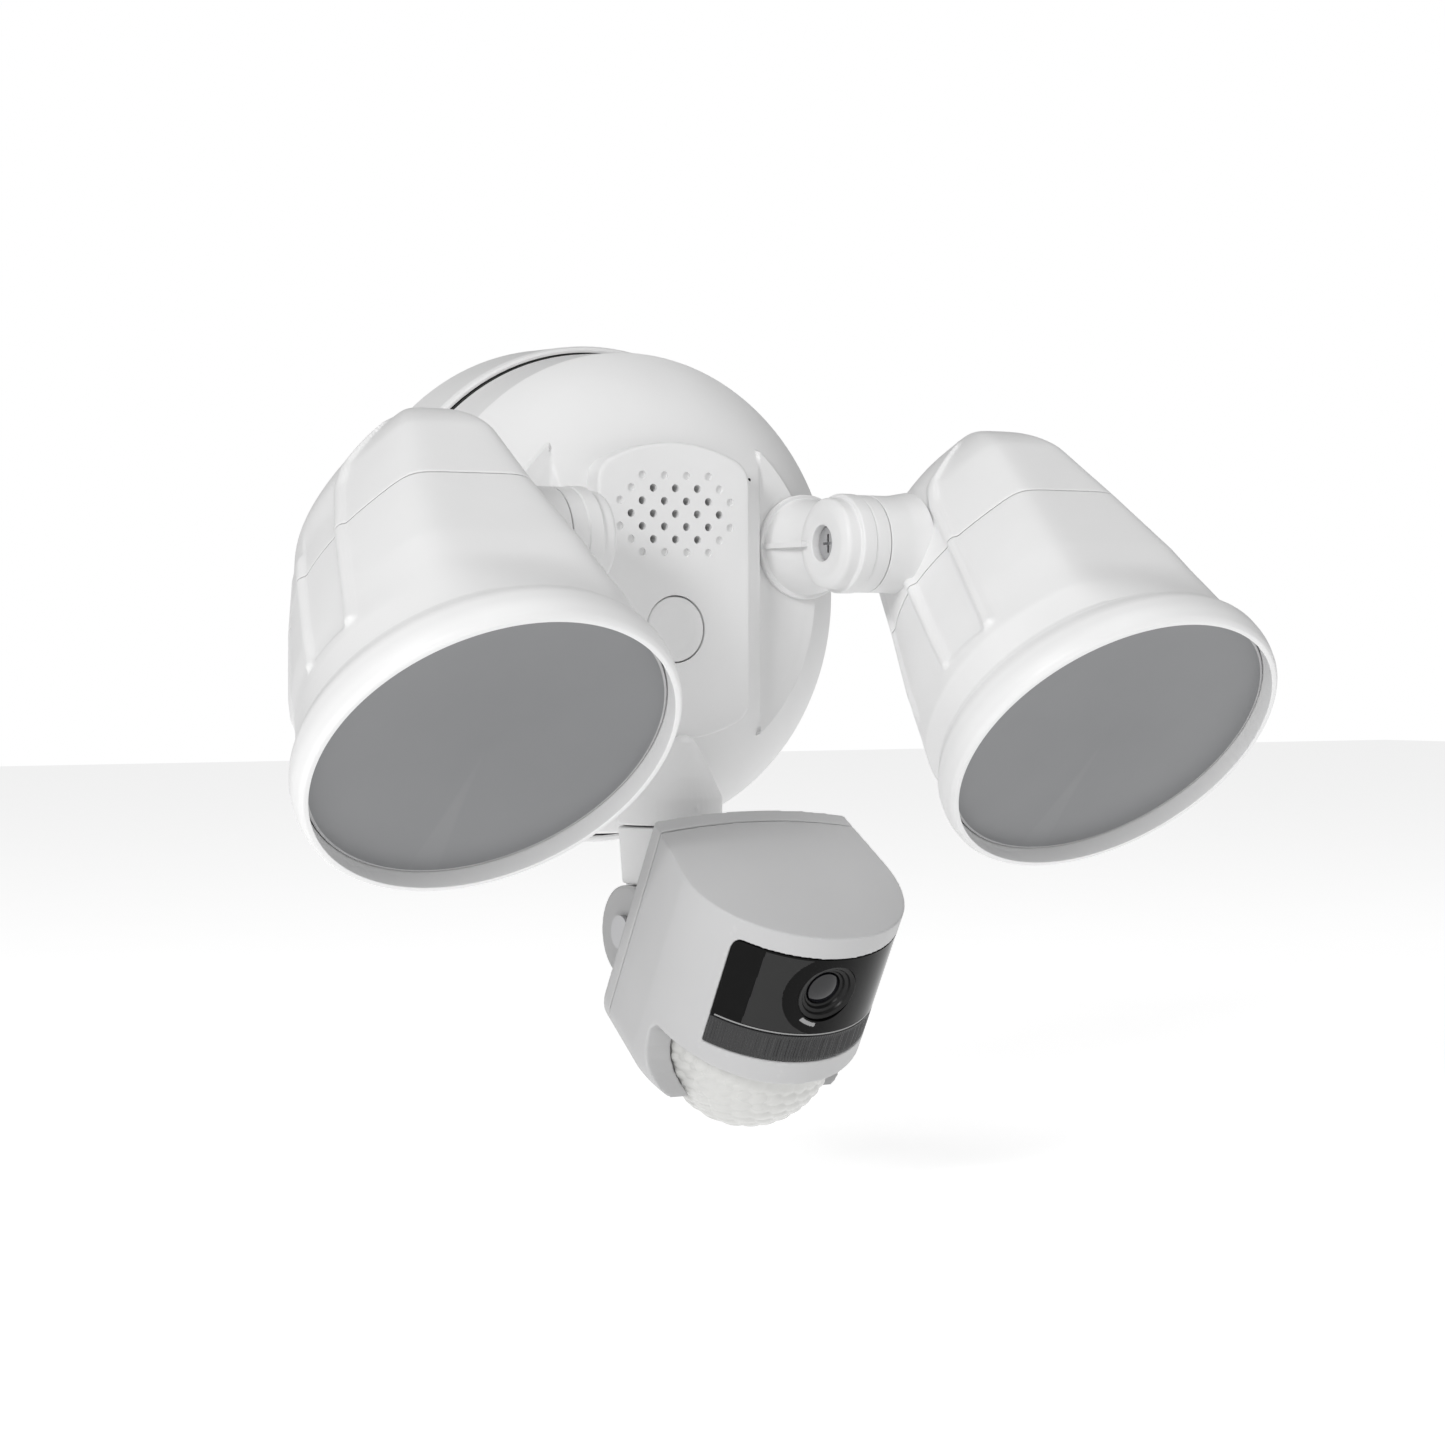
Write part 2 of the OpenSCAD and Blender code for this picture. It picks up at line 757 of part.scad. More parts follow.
module boss_nut() {
    color("silver") out() translate([boss_x, boss_z, 51.8]) difference() {
        cylinder(r = 12.9, h = 5.2, $fn = 6);
        translate([0, 0, -1]) cylinder(r = swivel_r + 0.04, h = 8);
    }
}

module pivot_oring() {
    color("dimgray") knuckle() translate([0, 0, 51.85]) ring(11.5, 10, 1.3);
}

module pivot_screw() {
    color("silver") knuckle() translate([0, 0, 42.8]) screw(23, 5, 2.6, pin_r);
}

// head frame: +Z points out of the lens, +Y is the head's up side, z = 0 is the lip
module head_frame() {
    translate([head_x, -knuckle_out, boss_z])
        rotate([90 + head_droop, 0, 0])
            translate([0, 0, head_reach]) children();
}

// cross-section of the head body at distance s behind the lip, drawn in by g
module head_section(s, side, top_w, top_h, shoulder_y, low_w, low_y, bottom_y, g) {
    translate([-side, 0, -s])
        linear_extrude(height = 0.1)
            polygon([
                [top_w - g * 0.5, top_h - g], [low_w - g - 4, shoulder_y], [low_w - g, -8],
                [low_w - g - 1.5, low_y], [low_w - 10, bottom_y + g],
                [10 - low_w, bottom_y + g], [g + 1.5 - low_w, low_y],
                [g - low_w, -8], [g + 4 - low_w, shoulder_y], [g * 0.5 - top_w, top_h - g]]);
}

module front_form(g, s0, s1) {
    mid = 42;
    hull() {
        translate([0, 0, -s0]) cylinder(r = 50 - g, h = 0.1, $fn = 64);
        head_section(mid, 2.2, 23, 40.8, 22, 43.5, -24, -41, g);
    }
    hull() {
        head_section(mid, 2.2, 23, 40.8, 22, 43.5, -24, -41, g);
        head_section(s1, 3, 17.5, 37.5, 18.5, 37, -22, -34, g);
    }
}

module rear_form(g, s0) {
    hull() {
        head_section(s0, 3, 17.5, 37.5, 18.5, 37, -22, -34, g);
        head_section(90 - g, 4.5, 13, 34, 14, 27.5, -18, -25.5, g);
    }
    hull() {
        head_section(90 - g, 4.5, 13, 34, 14, 27.5, -18, -25.5, g);
        translate([-7, 22, -104 + g]) sphere(r = 6, $fn = 24);
        translate([-7, 5, -100 + g]) sphere(r = 8, $fn = 24);
        translate([-7, -8, -94 + g]) sphere(r = 8, $fn = 24);
    }
}

module front_shell() {
    ledge_s = 9.6;
    ledge_r = 46.9;
    color("whitesmoke") head_frame() difference() {
        union() {
            rotate_extrude()
                polygon([
                    [0, 0], [lip_r, 0], [52.4, -2], [53.2, -5], [53, -9],
                    [52, -11.6], [50.3, -13], [0, -13]]);
            difference() {
                front_form(0, 12, seam_s);
                translate([-60, -60, -12.5]) cube([120, 120, 20]);
            }
        }
        translate([0, 0, -ledge_s]) cylinder(r = 50, h = 20);
        translate([0, 0, -14]) cylinder(r = ledge_r, h = 20);
        difference() {
            front_form(wall_t, 13.2, seam_s + 0.2);
            head_posts(3.8, 52, seam_s);
            head_webs(52, seam_s);
        }
        head_posts(screw_hole_r, 54, seam_s + 1);
    }
}

module head_posts(r, s0, s1) {
    for (s = [-1, 1])
        translate([s * screw_x - 2.5, screw_y, -s1]) cylinder(r = r, h = s1 - s0);
}

// webs that tie the screw posts to the side walls
module head_webs(s0, s1) {
    for (s = [-1, 1])
        translate([s > 0 ? screw_x - 2.5 : -screw_x - 22.5, screw_y - 1, -s1]) cube([20, 2, s1 - s0]);
}

module rear_housing() {
    color("whitesmoke") difference() {
        union() {
            head_frame() difference() {
                rear_form(0, seam_s + 0.1);
                difference() {
                    rear_form(wall_t, seam_s - 0.1);
                    head_posts(4.2, seam_s - 1, 94);
                    head_webs(seam_s + 0.1, 94);
                }
            }
            knuckle() difference() {
                translate([0, 0, tube_x]) cylinder(r = tube_r, h = 20);
                translate([0, 0, 70]) cylinder(r = 10, h = 20);
            }
        }
        knuckle() translate([0, 0, 50]) cylinder(r = pin_r + 0.03, h = 40);
        knuckle() translate([0, 6.6, 50]) cylinder(r = 2.2, h = 40);
        head_frame() {
            head_posts(screw_hole_r, seam_s - 1, 90);
            head_posts(3.1, 84, 130);
        }
    }
}

module shell_screws() {
    color("silver") head_frame()
        for (s = [-1, 1])
            translate([s * screw_x - 2.5, screw_y, -84]) screw(26, 2.8, 1.8);
}

module lens() {
    color("#b0b4b8") head_frame() translate([0, 0, -lens_s - lens_t]) cylinder(r = 49.8, h = lens_t);
}

module lens_seal() {
    color("dimgray") head_frame() translate([0, 0, -9.55]) ring(49.7, 47.4, 1.05);
}

module reflector() {
    color("silver") head_frame()
        rotate_extrude()
            polygon([
                [12, -33], [20, -27.5], [34, -17.5], [46.4, -9.2], [46.8, -9.2],
                [46.8, -10.4], [46.2, -10.4], [34.6, -18.7], [20.6, -28.7], [12, -34.4]]);
}

module led_board() {
    color("#e8e8e0") head_frame() translate([-1, 0, 0]) {
        translate([0, 0, -36.2]) cylinder(r = 15, h = 1.6);
        for (row = [-1:1], col = [-1:1])
            translate([row * 4.6, col * 4.6, -34.7]) plate_of(3, 3, 0.9);
    }
}

module heat_sink() {
    fins = 5;
    color("silver") head_frame() translate([-1, 0, 0]) {
        translate([0, 0, -39.3]) cylinder(r = 19, h = 3);
        for (i = [-fins:fins])
            let (half = sqrt(pow(18, 2) - pow(i * 3.2, 2)))
                translate([i * 3.2 - 0.7, -half, -52]) cube([1.4, 2 * half, 12.8]);
    }
}

wall_gasket();
back_plate();
cable_gland();
terminal_block();
power_board();
housing_seal();
front_housing();
housing_screws();
speaker();
main_board();
board_screws();
call_button();
neck_arm();
pan_cup();
pan_nut();
tilt_pin();
camera_rear_cover();
camera_front_body();
camera_window();
camera_lens_barrel();
camera_lens_glass();
camera_image_board();
infrared_strip();
infrared_board();
motion_dome();
motion_sensor();
camera_screws();
mirror([1, 0, 0]) swivel_boss();  // left_swivel_boss
mirror([1, 0, 0]) boss_nut();  // left_boss_nut
mirror([1, 0, 0]) pivot_oring();  // left_pivot_oring
mirror([1, 0, 0]) pivot_screw();  // left_pivot_screw
mirror([1, 0, 0]) rear_housing();  // left_rear_housing
mirror([1, 0, 0]) front_shell();  // left_front_shell
mirror([1, 0, 0]) lens();  // left_lens
mirror([1, 0, 0]) lens_seal();  // left_lens_seal
mirror([1, 0, 0]) reflector();  // left_reflector
mirror([1, 0, 0]) led_board();  // left_led_board
mirror([1, 0, 0]) heat_sink();  // left_heat_sink
mirror([1, 0, 0]) shell_screws();  // left_shell_screws
swivel_boss();  // right_swivel_boss
boss_nut();  // right_boss_nut
pivot_oring();  // right_pivot_oring
pivot_screw();  // right_pivot_screw
rear_housing();  // right_rear_housing
front_shell();  // right_front_shell
lens();  // right_lens
lens_seal();  // right_lens_seal
reflector();  // right_reflector
led_board();  // right_led_board
heat_sink();  // right_heat_sink
shell_screws();  // right_shell_screws
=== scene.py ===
"""Looks of the floodlight camera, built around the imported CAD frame.

Metres everywhere, X to the right, Z up, the wall is Y = 0 and the lamp stands out towards -Y.
"""
import json
import math

import bmesh
import bpy
import numpy as np
from mathutils import Matrix, Vector


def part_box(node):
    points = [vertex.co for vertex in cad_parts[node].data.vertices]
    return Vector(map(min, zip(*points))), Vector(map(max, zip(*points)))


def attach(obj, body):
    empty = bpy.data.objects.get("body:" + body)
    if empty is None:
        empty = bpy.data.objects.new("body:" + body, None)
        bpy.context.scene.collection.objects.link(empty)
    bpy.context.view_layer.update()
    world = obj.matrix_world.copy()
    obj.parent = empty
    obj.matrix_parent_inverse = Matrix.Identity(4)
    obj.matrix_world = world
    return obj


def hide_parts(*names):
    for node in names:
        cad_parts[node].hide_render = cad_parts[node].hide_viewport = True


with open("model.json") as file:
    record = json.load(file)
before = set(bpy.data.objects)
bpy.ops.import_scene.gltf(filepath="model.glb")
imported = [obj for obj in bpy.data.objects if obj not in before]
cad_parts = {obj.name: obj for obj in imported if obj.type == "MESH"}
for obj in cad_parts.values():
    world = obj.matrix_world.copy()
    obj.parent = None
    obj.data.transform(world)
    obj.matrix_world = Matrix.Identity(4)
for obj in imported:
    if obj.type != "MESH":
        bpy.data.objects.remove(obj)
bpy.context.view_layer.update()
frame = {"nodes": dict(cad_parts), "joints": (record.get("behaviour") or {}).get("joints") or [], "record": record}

MM = 0.001
SIDES = {"left": -1, "right": 1}
joints = {j["name"]: j for j in frame["joints"]}


def joint_place(name):
    return Vector(joints[name]["pos_m"])


# ---------- frames: local +Z is the axis of whatever is built in them ----------

OUT = Matrix(((1, 0, 0, 0), (0, 0, -1, 0), (0, 1, 0, 0), (0, 0, 0, 1)))
DROOP = math.radians(45.37)
CAMERA_PITCH = math.radians(30)
HEAD_REACH = 84.7 * MM
HEAD_SIDE = 50.1 * MM


def axes(origin, x, y, z):
    m = Matrix.Identity(4)
    for column, vector in enumerate((x, y, z, origin)):
        for row in range(3):
            m[row][column] = vector[row]
    return m


def knuckle_frame(side):
    """+Z points away from the middle along the knuckle axis, +X down."""
    s = SIDES[side]
    return axes(joint_place(side + "_head_tilt"), (0, 0, -1), (0, s, 0), (s, 0, 0))


def boss_frame(side):
    """+Z points out from the wall at the boss."""
    p = joint_place(side + "_boss_turn")
    return Matrix.Translation((p.x, 0, p.z)) @ OUT


def head_frame(side):
    """+Z points out of the lens, +Y is the head's up side, +X the outer side, 0 is the lip."""
    s = SIDES[side]
    a = Vector((0, -math.cos(DROOP), -math.sin(DROOP)))
    up = Vector((0, -math.sin(DROOP), math.cos(DROOP)))
    p = joint_place(side + "_head_tilt") + Vector((s * HEAD_SIDE, 0, 0)) + a * HEAD_REACH
    return axes(p, (s, 0, 0), up, a)


def camera_frame():
    """+Y points forward out of the camera, +Z up through its top."""
    c, s = math.cos(CAMERA_PITCH), math.sin(CAMERA_PITCH)
    return axes(joint_place("camera_tilt"), (1, 0, 0), (0, -c, -s), (0, -s, c))


# ---------- mesh helpers, sizes in millimetres inside a frame ----------

def add_object(name, mesh):
    obj = bpy.data.objects.new(name, mesh)
    bpy.context.scene.collection.objects.link(obj)
    return obj


def solid(name, verts, faces, place=None):
    """Object from millimetre points in a frame, with its faces turned outwards."""
    mesh = bpy.data.meshes.new(name)
    mesh.from_pydata([tuple(np.array(v, float) * MM) for v in verts], [], faces)
    if place is not None:
        mesh.transform(place)
    bm = bmesh.new()
    bm.from_mesh(mesh)
    bmesh.ops.remove_doubles(bm, verts=bm.verts, dist=1e-7)
    bmesh.ops.recalc_face_normals(bm, faces=bm.faces)
    bm.to_mesh(mesh)
    bm.free()
    return add_object(name, mesh)


def rings(name, loops, place=None, closed=False):
    """Skin over a list of equal rings of points. The ends are capped unless the rings close up."""
    loops = np.asarray(loops, float)
    count, width = loops.shape[:2]
    verts = loops.reshape(-1, 3)
    faces = []
    for i in range(count if closed else count - 1):
        j = (i + 1) % count
        for k in range(width):
            n = (k + 1) % width
            faces.append((i * width + k, i * width + n, j * width + n, j * width + k))
    if not closed:
        faces.append(tuple(range(width)))
        faces.append(tuple(range((count - 1) * width, count * width)))
    return solid(name, verts, faces, place)


def fillet(points, steps=5):
    """Rounds the corners of a profile of (r, h) or (r, h, radius) points."""
    out = []
    for i, p in enumerate(points):
        here = np.array(p[:2], float)
        radius = p[2] if len(p) > 2 else 0
        if radius == 0 or i in (0, len(points) - 1):
            out.append(tuple(here))
            continue
        before = np.array(points[i - 1][:2], float) - here
        after = np.array(points[i + 1][:2], float) - here
        reach = min(radius, 0.45 * np.hypot(*before), 0.45 * np.hypot(*after))
        a = here + before / np.hypot(*before) * reach
        b = here + after / np.hypot(*after) * reach
        for t in np.linspace(0, 1, steps + 1):
            out.append(tuple((1 - t) ** 2 * a + 2 * t * (1 - t) * here + t ** 2 * b))
    return out


def lathe(name, profile, place, steps=128):
    """Turned solid: the profile runs from the axis to the axis, or round a bore."""
    pts = fillet(profile)
    angle = np.arange(steps) * 2 * math.pi / steps
    loops = [[(max(r, 1e-4) * math.cos(t), max(r, 1e-4) * math.sin(t), h) for t in angle] for r, h in pts]
    bored = min(p[0] for p in profile) > 0.01
    return rings(name, loops, place, closed=bored)


def prism(name, outline, low, high, place):
    """Straight solid over an outline in the frame's XY plane."""
    n = len(outline)
    verts = [(x, y, h) for h in (low, high) for x, y in outline]
    faces = [tuple(range(n)), tuple(range(n, 2 * n))]
    faces += [(k, (k + 1) % n, n + (k + 1) % n, n + k) for k in range(n)]
    return solid(name, verts, faces, place)


def hull(name, points, place=None):
    mesh = bpy.data.meshes.new(name)
    bm = bmesh.new()
    for p in points:
        bm.verts.new(Vector(p) * MM)
    made = bmesh.ops.convex_hull(bm, input=bm.verts)
    spare = [v for v in made["geom_interior"] if isinstance(v, bmesh.types.BMVert)]
    bmesh.ops.delete(bm, geom=spare, context="VERTS")
    bmesh.ops.recalc_face_normals(bm, faces=bm.faces)
    bm.to_mesh(mesh)
    bm.free()
    if place is not None:
        mesh.transform(place)
    return add_object(name, mesh)


def disc_points(centre, r, axis="z", count=48):
    out = []
    for k in range(count):
        a, b = r * math.cos(2 * math.pi * k / count), r * math.sin(2 * math.pi * k / count)
        d = {"z": (a, b, 0), "x": (0, a, b), "y": (a, 0, b)}[axis]
        out.append(tuple(np.add(centre, d)))
    return out


def ball_points(centre, r, count=16):
    out = []
    for t in np.linspace(-0.5, 0.5, 7) * math.pi:
        out += disc_points(np.add(centre, (0, 0, r * math.sin(t))), r * math.cos(t), "z", count)
    return out


def settle(obj):
    """Turns the object's modifiers into its mesh."""
    bpy.context.view_layer.update()
    graph = bpy.context.evaluated_depsgraph_get()
    mesh = bpy.data.meshes.new_from_object(obj.evaluated_get(graph))
    obj.modifiers.clear()
    obj.data = mesh
    return obj


def combine(obj, other, operation="DIFFERENCE"):
    mod = obj.modifiers.new("combine", "BOOLEAN")
    mod.object = other
    mod.operation = operation
    mod.solver = "EXACT"
    settle(obj)
    bpy.data.objects.remove(other)
    return obj


def blend_edges(obj, voxel):
    """Rounds every edge of a solid the way a moulding does."""
    mod = obj.modifiers.new("skin", "REMESH")
    mod.mode = "VOXEL"
    mod.voxel_size = voxel * MM
    mod.use_smooth_shade = True
    mod = obj.modifiers.new("relax", "SMOOTH")
    mod.factor = 0.5
    mod.iterations = 3
    return settle(obj)


def shade(obj, degrees=38):
    for polygon in obj.data.polygons:
        polygon.use_smooth = True
    obj.data.set_sharp_from_angle(angle=math.radians(degrees))
    return obj


def arc(cx, cy, r, a0, a1, n):
    return [(cx + r * math.cos(math.radians(a)), cy + r * math.sin(math.radians(a)))
            for a in np.linspace(a0, a1, n)]


def smooth_step(x, a, b):
    t = np.clip((np.asarray(x, float) - a) / (b - a), 0, 1)
    return t * t * (3 - 2 * t)


def smooth_min(a, b, k):
    h = np.clip(0.5 + 0.5 * (b - a) / k, 0, 1)
    return b * (1 - h) + a * h - k * h * (1 - h)


def plateau(distance, half, soft):
    return 1 / (1 + np.exp(np.clip((distance - half) / soft, -40, 40)))


# ---------- materials ----------

def node_link(tree, a, b):
    tree.links.new(a, b)


def noise(tree, scale, detail=4.0):
    coords = tree.nodes.new("ShaderNodeTexCoord")
    texture = tree.nodes.new("ShaderNodeTexNoise")
    texture.inputs["Scale"].default_value = scale
    texture.inputs["Detail"].default_value = detail
    node_link(tree, coords.outputs["Object"], texture.inputs["Vector"])
    return texture.outputs["Fac"]


def ramp(tree, source, low, high, positions=(0.3, 0.7)):
    node = tree.nodes.new("ShaderNodeMapRange")
    node.inputs["From Min"].default_value = positions[0]
    node.inputs["From Max"].default_value = positions[1]
    node.inputs["To Min"].default_value = low
    node.inputs["To Max"].default_value = high
    node_link(tree, source, node.inputs["Value"])
    return node.outputs["Result"]


def tint(tree, factor, dark, light):
    node = tree.nodes.new("ShaderNodeMix")
    node.data_type = "RGBA"
    node.inputs["A"].default_value = (*dark, 1)
    node.inputs["B"].default_value = (*light, 1)
    node_link(tree, factor, node.inputs["Factor"])
    return node.outputs["Result"]


def make_material(name, colour, rough, grain=1400.0, depth=0.02, spread=0.03, metal=0.0, coat=0.0, edge=0.04,
                  gloss=0.5):
    """Moulded or machined surface: fine bump, uneven roughness, slow colour drift and a painted highlight that
    lightens convex edges towards white.
    """
    material = bpy.data.materials.new(name)
    material.use_nodes = True
    tree = material.node_tree
    shader = tree.nodes["Principled BSDF"]
    shader.inputs["Metallic"].default_value = metal
    shader.inputs["Coat Weight"].default_value = coat
    shader.inputs["Coat Roughness"].default_value = 0.03
    shader.inputs["Specular IOR Level"].default_value = gloss
    colour = np.array(colour, float)
    slow = ramp(tree, noise(tree, 18.0), 0, 1)
    drift = tint(tree, slow, colour * (1 - spread), np.minimum(colour * (1 + spread), 1))
    # Painted highlight: convex edges, picked out by pointiness, are lifted towards white by up to edge.
    geometry = tree.nodes.new("ShaderNodeNewGeometry")
    painted_edge_highlight = ramp(tree, geometry.outputs["Pointiness"], 0, edge, (0.5, 0.62))
    lift = tree.nodes.new("ShaderNodeMix")
    lift.data_type = "RGBA"
    lift.inputs["B"].default_value = (1, 1, 1, 1)
    node_link(tree, painted_edge_highlight, lift.inputs["Factor"])
    node_link(tree, drift, lift.inputs["A"])
    node_link(tree, lift.outputs["Result"], shader.inputs["Base Color"])
    uneven = ramp(tree, noise(tree, 60.0), rough * 0.9, min(rough * 1.1, 1))
    node_link(tree, uneven, shader.inputs["Roughness"])
    bump = tree.nodes.new("ShaderNodeBump")
    bump.inputs["Strength"].default_value = 0.35
    bump.inputs["Distance"].default_value = depth * MM
    node_link(tree, noise(tree, grain, 3.0), bump.inputs["Height"])
    node_link(tree, bump.outputs["Normal"], shader.inputs["Normal"])
    return material


WHITE = (0.80, 0.80, 0.80)
GREY_WHITE = (0.50, 0.50, 0.503)

materials = {
    "plate_plastic": make_material("plate_plastic", (0.80, 0.80, 0.80), 0.5),
    "housing_plastic": make_material("housing_plastic", WHITE, 0.46),
    "head_plastic": make_material("head_plastic", WHITE, 0.44),
    "camera_plastic": make_material("camera_plastic", GREY_WHITE, 0.42),
    "button_plastic": make_material("button_plastic", (0.80, 0.80, 0.80), 0.4),
    "lamp_lens": make_material("lamp_lens", (0.185, 0.188, 0.194), 0.4, 500, 0.01, 0.03),
    "window_plastic": make_material("window_plastic", (0.002, 0.002, 0.002), 0.05, 300, 0.002,
                                    edge=0.0, gloss=0.12),
    "strip_plastic": make_material("strip_plastic", (0.016, 0.016, 0.017), 0.14, 300, 0.004, edge=0.0),
    "motion_lens": make_material("motion_lens", (0.58, 0.58, 0.565), 0.28, 900, 0.01, coat=0.3),
    "camera_glass": make_material("camera_glass", (0.004, 0.004, 0.006), 0.05, 200, 0.001,
                                  edge=0.0, gloss=0.6),
    # Besides the lens barrel's own colour, dark_plastic serves as painted shade in the speaker hole bottoms and
    # the microphone port.
    "dark_plastic": make_material("dark_plastic", (0.006, 0.006, 0.006), 0.35, edge=0.0, gloss=0.25),
    "seal_rubber": make_material("seal_rubber", (0.03, 0.03, 0.03), 0.7, 900, 0.03, edge=0.0),
    "steel": make_material("steel", (0.55, 0.55, 0.56), 0.3, 2200, 0.01, metal=1.0),
    "reflector_metal": make_material("reflector_metal", (0.8, 0.8, 0.8), 0.15, 1200, 0.01, metal=1.0),
    "sink_aluminium": make_material("sink_aluminium", (0.6, 0.6, 0.61), 0.45, 1500, 0.03, metal=1.0),
    "board_green": make_material("board_green", (0.03, 0.16, 0.07), 0.35, 700, 0.01),
    "terminal_plastic": make_material("terminal_plastic", (0.75, 0.72, 0.6), 0.45),
}
inner_grey = make_material("window_inner", (0.03, 0.03, 0.03), 0.2, 300, 0.002, edge=0.0, gloss=0.12)
mark_grey = make_material("window_mark", (0.3, 0.3, 0.3), 0.3, 300, 0.002, edge=0.0, gloss=0.12)
border_white = make_material("lens_border", (0.5, 0.5, 0.505), 0.35, 600, 0.01, coat=0.4)


def piece(obj, body, slot, *nodes, degrees=38):
    """Finishes a piece: smooth shading, its material, the body it rides on and the nodes it stands for."""
    shade(obj, degrees)
    if not obj.data.materials:
        obj.data.materials.append(materials[slot])
    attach(obj, body)
    if nodes:
        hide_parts(*nodes)
    return obj


for part in frame["record"]["subparts"]:
    node = frame["nodes"][part["node"]]
    node.data.materials.clear()
    node.data.materials.append(materials[part["material_slot"]])

# ---------- wall base ----------

PANEL_FRONT = -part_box("front_housing")[0].y / MM
SHOULDER = (28.4, 10.5, 55.1)
CREASE = (72.5, 43.5)
REAR = (73.65, 23.1)
PAD_OUT = 59.8
PAD_CHORD = 36
PAD_ARC = 56
WALL = 2.6
BOSS_X = joint_place("right_boss_turn").x / MM
SPEAKER_Z = 22.82
HOLE_R = 1.2
BUTTON_Z = -11.2
BUTTON_R = 9.7


def dome_height(x, z):
    """Distance of the housing's skin from the wall."""
    r = np.hypot(x, z)
    cr, cz, cs = SHOULDER
    skin = cz + np.sqrt(np.maximum(cs ** 2 - np.maximum(r - cr, 0) ** 2, 1))
    step = np.maximum(PAD_OUT, PAD_OUT + (PAD_CHORD - np.abs(x)) * 1.67)
    skin = smooth_min(skin, step, 0.7)
    crescent = PAD_OUT - np.maximum(r - PAD_ARC, 0) * 5 - np.maximum(PAD_CHORD - np.abs(x), 0) * 5
    return -smooth_min(-skin, -crescent, 0.5)


def build_dome():
    steps = 560
    angle = np.arange(steps) * 2 * math.pi / steps
    radii = np.concatenate([
        np.linspace(0.2, 54, 100), np.linspace(54.3, 58, 14), np.linspace(58.5, 72.0, 30)])
    loops = []
    for r in radii:
        x, z = r * np.cos(angle), r * np.sin(angle)
        loops.append(np.stack([x, z, dome_height(x, z)], 1))
    for r, h in fillet([(72.0, 44.1), (*CREASE, 0.8), (*REAR, 0.5), (REAR[0] - WALL, REAR[1])])[1:]:
        loops.append(np.stack([r * np.cos(angle), r * np.sin(angle), np.full(steps, h)], 1))
    for r in np.linspace(CREASE[0] - WALL, 0.2, 40):
        x, z = r * np.cos(angle), r * np.sin(angle)
        loops.append(np.stack([x, z, np.minimum(dome_height(x, z), PAD_OUT) - WALL], 1))
    return rings("dome_shell", loops, OUT)


def panel_outline():
    """Raised panel: bowed ends, straight sides, rounded corners."""
    half_w, half_h, bow, corner = 26, 44, 50, 8
    lean = math.degrees(math.acos((half_w - corner) / (bow - corner)))
    corner_y = half_h - bow + (bow - corner) * math.sin(math.radians(lean))
    right = arc(half_w - corner, corner_y, corner, 0, lean, 12)
    right += arc(0, half_h - bow, bow, lean, 90, 14)[1:]
    upper = right + [(-x, y) for x, y in right[-2::-1]]
    return upper + [(-x, -y) for x, y in upper]


def build_panel():
    base = np.array(panel_outline())
    loops = []
    edge = fillet([(0, 60.0), (0, PANEL_FRONT, 1.5), (-6, PANEL_FRONT)], 8)
    for inset, h in edge[:-1]:
        scale_x, scale_y = (26 + inset) / 26, (44 + inset) / 44
        loops.append([(x * scale_x, y * scale_y, h) for x, y in base])
    panel = rings("front_panel", loops, OUT)
    pitch = 3.768
    through, blind = [], []
    for row in range(-2, 3):
        full = 4 - abs(row)
        through += [((2 * k - full) * pitch, SPEAKER_Z + row * pitch) for k in range(full + 1)]
    ends = {3: (-3, -1, 1, 3), 2: (-4, 4), 1: (-5, 5)}
    for row in (3, 2, 1, -1, -2, -3):
        blind += [(x * pitch, SPEAKER_Z + row * pitch) for x in ends[abs(row)]]
    for group, depth in ((through, 6.0), (blind, 0.8)):
        for x, y in group:
            floor, above = PANEL_FRONT - depth, PANEL_FRONT + 1
            profile = [(0, floor), (HOLE_R, floor), (HOLE_R, above), (0, above)]
            cutter = lathe("hole", profile, OUT @ Matrix.Translation((x * MM, y * MM, 0)), 24)
            combine(panel, cutter)
    cutter = lathe("recess", [(0, 61), (BUTTON_R + 0.35, 61), (BUTTON_R + 0.35, 75), (0, 75)],
                   OUT @ Matrix.Translation((0, BUTTON_Z * MM, 0)), 96)
    return combine(panel, cutter)


def build_base():
    piece(build_dome(), "base", "housing_plastic", "front_housing")
    piece(build_panel(), "base", "housing_plastic", degrees=30)
    # Dark disc under the grille holes: it stands for the speaker behind them and is also painted shade that keeps
    # the hole bottoms dark.
    piece(lathe("speaker_and_hole_shade", [(0, 65.0), (18, 65.0, 0.2), (18, 66.2, 0.2), (0, 66.2)],
                OUT @ Matrix.Translation((0, SPEAKER_Z * MM, 0)), 64), "base", "dark_plastic")
    # Microphone port: no hole is cut, and a dark plug a hair proud of the skin is painted shade in its place.
    x, z, r = 30.5, 34, 0.55
    h = float(dome_height(np.array(x), np.array(z)))
    piece(lathe("microphone_port", [(0, h - 2), (r, h - 2), (r, h + 0.05, 0.03), (0, h + 0.06)],
                OUT @ Matrix.Translation((x * MM, z * MM, 0)), 24), "base", "dark_plastic")
    for side in SIDES:
        piece(lathe(side + "_pedestal", [(0, 46), (15.3, 46), (15.3, PAD_OUT, 0.5), (0, PAD_OUT)],
                    boss_frame(side)), "base", "housing_plastic")
    top = PANEL_FRONT - 0.15
    profile = [(0, 60), (BUTTON_R, 60), (BUTTON_R, top, 0.7), (BUTTON_R - 1.6, top + 0.02, 0.6),
               (BUTTON_R - 3, top - 0.25, 1), (0, top - 0.45)]
    button = lathe("button_cap", profile, OUT @ Matrix.Translation((0, BUTTON_Z * MM, 0)))
    piece(button, "call_button", "button_plastic", "call_button")


# ---------- swivel bosses ----------

